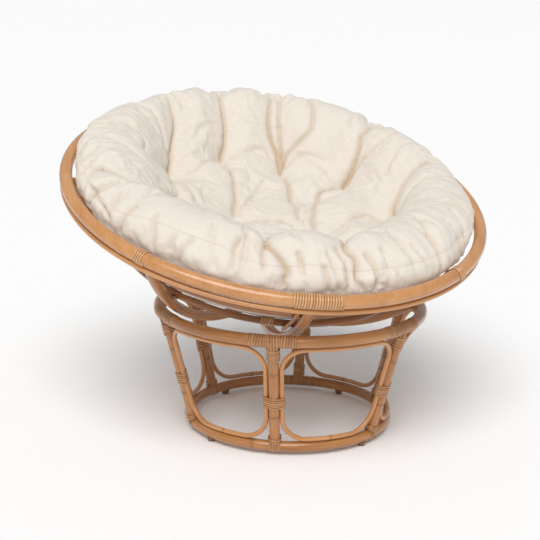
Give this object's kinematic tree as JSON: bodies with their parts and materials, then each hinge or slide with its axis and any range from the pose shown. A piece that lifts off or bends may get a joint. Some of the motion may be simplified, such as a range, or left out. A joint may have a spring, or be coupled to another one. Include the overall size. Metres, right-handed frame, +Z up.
{
  "type": "papasan chair",
  "caption": "Round rattan bowl chair: a tufted cushion in a tilting pole-and-ring bowl that rests on a flared stand of posts, hoops and rings tied with cane.",
  "frame": {"origin": "on the floor under the middle of the chair's outline", "axes": "+Z up, -Y to the front where the bowl is lowest, +X to the right seen from the front"},
  "size_m": [1.0986, 1.0493, 0.809],
  "materials": {
    "rattan": "varnished",
    "dark_rattan": "varnished",
    "cane_strand": "satin",
    "glide": "satin",
    "cotton": "matte"
  },
  "bodies": {
    "stand": {"top_ring": "rattan", "bottom_ring": "rattan", "post_1": "rattan", "hoop_1": "dark_rattan", "top_wrap_1": "cane_strand", "mid_binding_1": "cane_strand", "bottom_wrap_1": "cane_strand", "post_2": "rattan", "hoop_2": "dark_rattan", "top_wrap_2": "cane_strand", "mid_binding_2": "cane_strand", "bottom_wrap_2": "cane_strand", "post_3": "rattan", "hoop_3": "dark_rattan", "top_wrap_3": "cane_strand", "mid_binding_3": "cane_strand", "bottom_wrap_3": "cane_strand", "post_4": "rattan", "hoop_4": "dark_rattan", "top_wrap_4": "cane_strand", "mid_binding_4": "cane_strand", "bottom_wrap_4": "cane_strand", "post_5": "rattan", "hoop_5": "dark_rattan", "top_wrap_5": "cane_strand", "mid_binding_5": "cane_strand", "bottom_wrap_5": "cane_strand", "post_6": "rattan", "hoop_6": "dark_rattan", "top_wrap_6": "cane_strand", "mid_binding_6": "cane_strand", "bottom_wrap_6": "cane_strand", "glide_1": "glide", "glide_2": "glide", "glide_3": "glide", "glide_4": "glide"},
    "bowl": {"rim_back": "rattan", "rim_front": "rattan", "under_rim_ring": "dark_rattan", "rib_1": "rattan", "rib_2": "rattan", "rib_3": "rattan", "rib_4": "rattan", "rib_5": "rattan", "rib_6": "rattan", "rib_7": "rattan", "rib_8": "rattan", "hub_ring": "dark_rattan", "inner_ring_upper": "dark_rattan", "inner_ring_lower": "dark_rattan", "front_brace": "rattan", "front_splice_binding": "cane_strand", "left_rim_binding": "cane_strand", "right_rim_binding": "cane_strand", "lower_ring_binding": "cane_strand"},
    "cushion": {"cushion": "cotton"}
  },
  "joints": [
    {"name": "bowl_tilt", "type": "hinge", "parent": "stand", "child": "bowl", "pos_m": [0, -0.07801, 0.82213], "axis": [1, 0, 0], "range_deg": [-18, 9]},
    {"name": "cushion_lift", "type": "slide", "parent": "bowl", "child": "cushion", "axis": [0, -0.3098, 0.9508], "range_m": [0, 0.3]}
  ]
}
